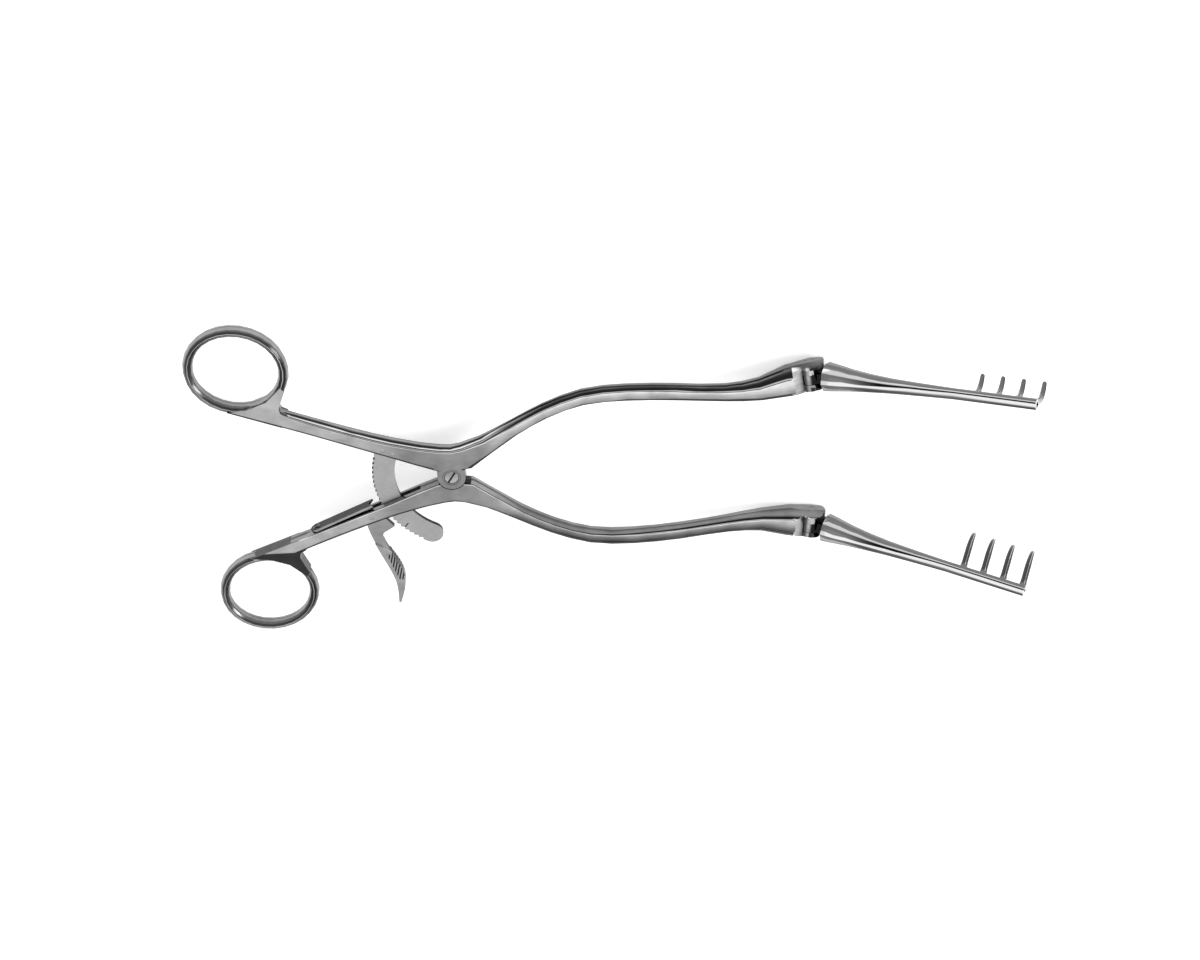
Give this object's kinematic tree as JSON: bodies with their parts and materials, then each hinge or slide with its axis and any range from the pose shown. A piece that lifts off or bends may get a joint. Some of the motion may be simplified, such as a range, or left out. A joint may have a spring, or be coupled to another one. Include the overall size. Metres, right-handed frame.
{
  "type": "self retaining retractor",
  "caption": "Scissor-like wound spreader: ring-handled halves on a screw joint, a curved ratchet bar with a sprung release lever, and hinged blades ending in hooked prongs.",
  "frame": {"origin": "on the pivot axis, on the flat back of the lap joint", "axes": "+X from the joint towards the blades, +Y towards the left half, +Z towards the front, where the pivot screw's head is"},
  "size_m": [0.3089, 0.1378, 0.0455],
  "materials": {
    "satin_steel": "satin brushed stainless steel",
    "matte_steel": "fine ground stainless steel",
    "polished_steel": "mirror polished stainless steel"
  },
  "bodies": {
    "right_side": {"right_half": "satin_steel", "pivot_screw": "satin_steel", "lever_pin": "satin_steel", "lever_spring": "polished_steel", "spring_screw": "polished_steel", "right_hinge_pin": "polished_steel"},
    "left_side": {"left_half": "satin_steel", "ratchet_bar": "matte_steel", "ratchet_pins": "satin_steel", "left_hinge_pin": "polished_steel"},
    "lever": {"release_lever": "satin_steel"},
    "left_rake": {"left_blade": "polished_steel"},
    "right_rake": {"right_blade": "polished_steel"}
  },
  "joints": [
    {"name": "spread", "type": "hinge", "parent": "right_side", "child": "left_side", "pos_m": [0, 0, 0.003], "axis": [0, 0, 1], "range_deg": [-18, 36]},
    {"name": "release", "type": "hinge", "parent": "right_side", "child": "lever", "pos_m": [-0.0313, -0.0166, 0.003], "axis": [0, 0, 1], "range_deg": [-8, 0], "stiffness_Nm_per_rad": 0.05},
    {"name": "left_fold", "type": "hinge", "parent": "left_side", "child": "left_rake", "pos_m": [0.1337, 0.0337, -0.0013], "axis": [0.1045, -0.9945, 0], "range_deg": [-28.8, 61.2]},
    {"name": "right_fold", "type": "hinge", "parent": "right_side", "child": "right_rake", "pos_m": [0.1337, -0.0337, -0.0013], "axis": [-0.1045, -0.9945, 0], "range_deg": [-28.8, 61.2]}
  ]
}
